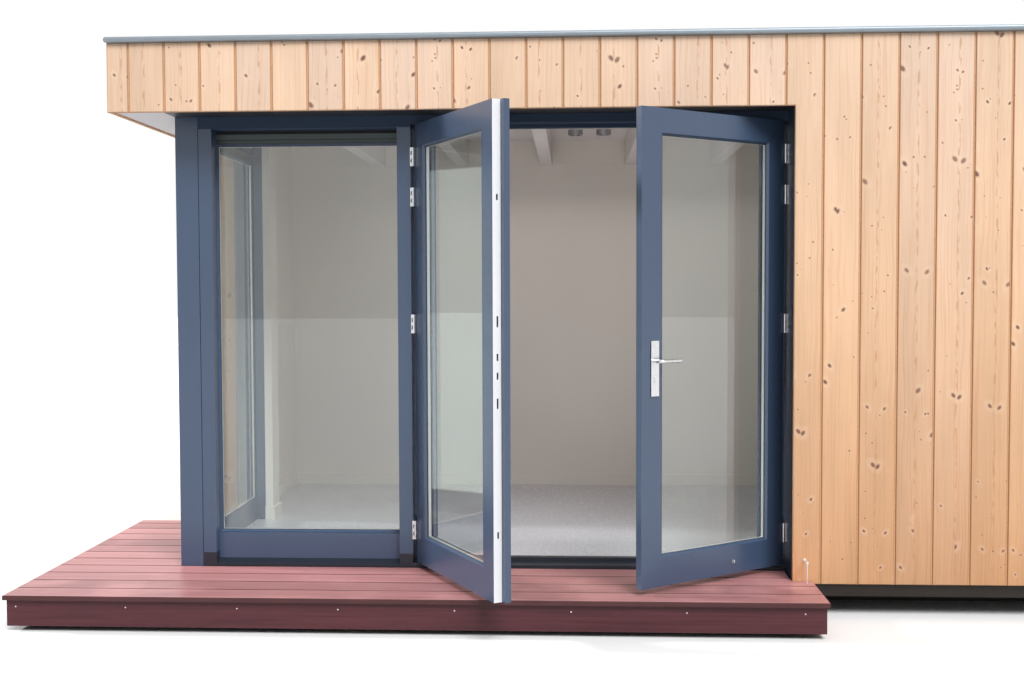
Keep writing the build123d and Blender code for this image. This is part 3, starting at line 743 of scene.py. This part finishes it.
def deck_edge():
    """Fascia boards under the deck nosing with their screws."""
    made = Builder(22)
    low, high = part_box("deck_fascia")
    side_y = low[1] + EDGE_THICK + EDGE_JOINT
    end_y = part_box("cladding_front")[0][1] - WALL_GAP
    made.board(tuple(low), (high[0], low[1] + EDGE_THICK, high[2]), 1, -1, DECK_ARRIS)
    made.board((low[0], side_y, low[2]), (low[0] + EDGE_THICK, high[1], high[2]), 0, -1, DECK_ARRIS, 1)
    made.board((high[0] - EDGE_THICK, side_y, low[2]), (high[0], end_y, high[2]), 0, 1, DECK_ARRIS, 1)
    for place in BEARERS:
        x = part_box("deck_boards")[0][0] + place
        centre = (x, low[1] + SCREW_SUNK, high[2] - EDGE_SCREW_DROP)
        made.disc(centre, 1, -1, EDGE_SCREW_RADIUS, SCREW_HEIGHT, 2)
    # The fascia boards get the darker deck wood: painted shade
    made.finish("deck_fascia_boards", (FASCIA_SHADE, FASCIA_END_SHADE, STEEL), ("deck_fascia",))


deck_rows()
deck_edge()


# Panes
def frame_strip(made, outer, inner, outer_depth, inner_depth, place):
    """A mitred four-sided bevel from an outer rectangle at one depth to an inner one at another."""
    (a0, b0), (a1, b1) = outer
    (c0, d0), (c1, d1) = inner
    outer_ring = [(a0, b0), (a1, b0), (a1, b1), (a0, b1)]
    inner_ring = [(c0, d0), (c1, d0), (c1, d1), (c0, d1)]
    for i in range(4):
        j = (i + 1) % 4
        points = [place(*outer_ring[i], outer_depth), place(*outer_ring[j], outer_depth),
                  place(*inner_ring[j], inner_depth), place(*inner_ring[i], inner_depth),
                  place(*outer_ring[i], inner_depth), place(*outer_ring[j], inner_depth)]
        made.add(points, ((0, 1, 2, 3), (0, 4, 5, 1), (3, 2, 5, 4), (0, 3, 4), (1, 5, 2)), 0, MIDDLE_TONE)


def bars(made, outer, inner, d0, d1, place, slot):
    """Four bars round a pane between two rectangles, from depth d0 to d1."""
    (a0, b0), (a1, b1) = outer
    (c0, e0), (c1, e1) = inner
    for p, q, r, t in ((a0, c0, b0, b1), (c1, a1, b0, b1), (c0, c1, b0, e0), (c0, c1, e1, b1)):
        made.block([place(x, z, d) for d in (d0, d1) for z in (r, t) for x in (p, q)], slot)


def shrink(corners, by):
    (a0, b0), (a1, b1) = corners
    return (a0 + by, b0 + by), (a1 - by, b1 - by)


def glazing(name, place, opening, depths, body):
    """Beads, seals and the metal spacer of one sealed pane."""
    front, glass_front, glass_back, back = depths
    made = Builder(31)
    seen = shrink(opening, BEAD)
    hidden = shrink(opening, BEAD - SPACER_HOLD)
    frame_strip(made, opening, seen, front, glass_front - GLASS_GAP, place)
    frame_strip(made, opening, seen, back, glass_back + GLASS_GAP, place)
    bars(made, seen, shrink(seen, SEAL_WIDTH), glass_front - SEAL_PROUD, glass_front + SEAL_SUNK, place, 1)
    bars(made, hidden, shrink(seen, SPACER), glass_front + SPACER_FRONT, glass_back - SPACER_BACK, place, 2)
    bars(made, hidden, shrink(seen, SEAL_WIDTH), glass_back - SPACER_BACK, glass_back - GLASS_GAP, place, 1)
    made.finish(name, (JOINERY, SEAL, BAR), (), body)


def leaf_place(joint, sign):
    """Maps (distance from the hinge edge, height, depth from the outer face) to the open leaf's place."""
    angle = math.radians(-joint["range_deg"][0])
    along = Vector((sign * math.cos(angle), -math.sin(angle), 0))
    inward = Vector((sign * math.sin(angle), math.cos(angle), 0))
    origin = Vector((joint["pos_m"][0], joint["pos_m"][1], 0))

    def place(r, z, depth):
        p = origin + along * (r + LEAF_START) + inward * (depth + AXIS_BEFORE_FACE)
        return (p[0], p[1], z)
    return place


JOINTS = {j["name"]: j for j in frame["joints"]}
for side, sign, free_stile in (("left", 1, LEFT_FREE_STILE), ("right", -1, RIGHT_FREE_STILE)):
    pane = ((HINGE_STILE, LEAF_RAILS[0]), (LEAF_WIDTH - free_stile, LEAF_RAILS[1]))
    place = leaf_place(JOINTS[side + "_door_hinge"], sign)
    glazing(side + "_leaf_glazing", place, pane, LEAF_DEPTHS, side + "_door")

side_x, front_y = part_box("corner_post")[0][:2]
glass_low, glass_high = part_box("window_glass")
FRONT_PANE = ((FRONT_PANE_START, glass_low[2]), (glass_high[0], glass_high[2]))
SIDE_PANE = ((SIDE_PANE_START, glass_low[2]), (glass_high[1], glass_high[2]))


def front_place(a, b, depth):
    return (a, front_y + depth, b)


def side_place(a, b, depth):
    return (side_x + depth, a, b)


glazing("front_window_glazing", front_place, FRONT_PANE, WINDOW_DEPTHS, "building")
glazing("side_window_glazing", side_place, SIDE_PANE, WINDOW_DEPTHS, "building")


# Painted shade in the vent slots, and lamp faces
def vent_slot_shade():
    """Near-black blocks in the slots between the vent grilles and the head: painted shade of the open air
    slots.
    """
    made = Builder(43)
    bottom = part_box("vent_grilles")[1][2]
    near, far = SLOT_DEPTHS
    for pane, place in ((FRONT_PANE, front_place), (SIDE_PANE, side_place)):
        made.cuboid(place(pane[0][0], bottom, near), place(pane[1][0], bottom + SLOT_HEIGHT, far), 0)
    made.finish("vent_slot_shade", (SLOT_SHADE,))


def lenses():
    """Lamp faces inside the two ceiling lights."""
    made = Builder(41)
    low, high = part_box("downlights")
    radius = (high[1] - low[1]) / 2
    for x in (low[0] + radius, high[0] - radius):
        centre = (x, low[1] + radius, low[2] + LENS_RECESS)
        made.disc(centre, 2, -1, radius - LENS_RIM, LENS_HEIGHT, 0, LENS_SIDES)
    made.finish("downlight_lenses", (LENS,))


vent_slot_shade()
lenses()


# Lamps, floor, sky and camera
def light(name, kind, energy, colour, place, direction):
    data = bpy.data.lights.new(name, kind)
    data.energy = energy
    data.color = colour
    obj = bpy.data.objects.new(name, data)
    obj.location = place
    obj.rotation_euler = Vector(direction).to_track_quat("-Z", "Y").to_euler()
    bpy.context.scene.collection.objects.link(obj)
    return data


def lamps():
    for name, direction, strength, angle, colour in SUNS:
        light(name, "SUN", strength, colour, (0, 0, 0), direction).angle = math.radians(angle)
    for name, place, target, size, power in ROOM_LIGHTS:
        data = light(name, "AREA", power, ROOM_COLOUR, place, Vector(target) - Vector(place))
        data.shape = "RECTANGLE"
        data.size, data.size_y = size


def stage_floor():
    mesh = bpy.data.meshes.new("floor_plane")
    r = FLOOR_REACH
    mesh.from_pydata([(-r, -r, 0), (r, -r, 0), (r, r, 0), (-r, r, 0)], [], [(0, 1, 2, 3)])
    obj = bpy.data.objects.new("stage_floor", mesh)
    bpy.context.scene.collection.objects.link(obj)
    mat, tree, shader = new_material("stage_floor")
    path = tree.nodes.new("ShaderNodeLightPath")
    seen = math_node(tree, "MAXIMUM", path.outputs["Is Camera Ray"], path.outputs["Is Glossy Ray"])
    plug(tree, shader.inputs["Base Color"], mix(tree, seen, FLOOR_LIT, FLOOR_SEEN))
    shader.inputs["Roughness"].default_value = 0.9
    shader.inputs["Specular IOR Level"].default_value = 0.1
    mesh.materials.append(mat)


def sky():
    """Plain white where it is seen; the light it gives is stronger from above than from the horizon."""
    world = bpy.data.worlds.new("studio")
    bpy.context.scene.world = world
    world.use_nodes = True
    tree = world.node_tree
    tree.nodes.clear()
    out = tree.nodes.new("ShaderNodeOutputWorld")
    rise = node(tree, "ShaderNodeSeparateXYZ", {0: tree.nodes.new("ShaderNodeTexCoord").outputs["Generated"]})
    level = spread(tree, rise.outputs[2], *SKY_LEVELS, 0.0, SKY_FULL_AT)
    given = node(tree, "ShaderNodeBackground", {"Color": SKY_COLOUR, "Strength": level})
    white = node(tree, "ShaderNodeBackground", {"Color": (1, 1, 1, 1), "Strength": 1.0})
    path = tree.nodes.new("ShaderNodeLightPath")
    seen = math_node(tree, "MAXIMUM", path.outputs["Is Camera Ray"], path.outputs["Is Glossy Ray"])
    seen = math_node(tree, "MAXIMUM", seen, path.outputs["Is Transmission Ray"])
    blend = node(tree, "ShaderNodeMixShader", {0: seen, 1: given.outputs[0], 2: white.outputs[0]})
    tree.links.new(blend.outputs[0], out.inputs[0])


def camera():
    yaw, pitch, roll = (math.radians(turn) for turn in CAMERA_TURN)
    forward = Vector((math.sin(yaw) * math.cos(pitch), math.cos(yaw) * math.cos(pitch), -math.sin(pitch)))
    right = Vector((math.cos(yaw), -math.sin(yaw), 0))
    down = forward.cross(right)
    across = math.cos(roll) * right + math.sin(roll) * down
    below = -math.sin(roll) * right + math.cos(roll) * down
    data = bpy.data.cameras.new("camera")
    data.sensor_fit = "HORIZONTAL"
    data.sensor_width = SENSOR_MM
    data.lens = FOCAL_PIXELS * SENSOR_MM / PHOTO_WIDTH
    data.clip_end = VIEW_REACH
    obj = bpy.data.objects.new("camera", data)
    turn = Matrix((across, -below, -forward)).transposed().to_4x4()
    obj.matrix_world = Matrix.Translation(CAMERA_PLACE) @ turn
    bpy.context.scene.collection.objects.link(obj)
    bpy.context.scene.camera = obj


stage_floor()
sky()
lamps()
camera()
bpy.context.scene.view_settings.view_transform = "Standard"
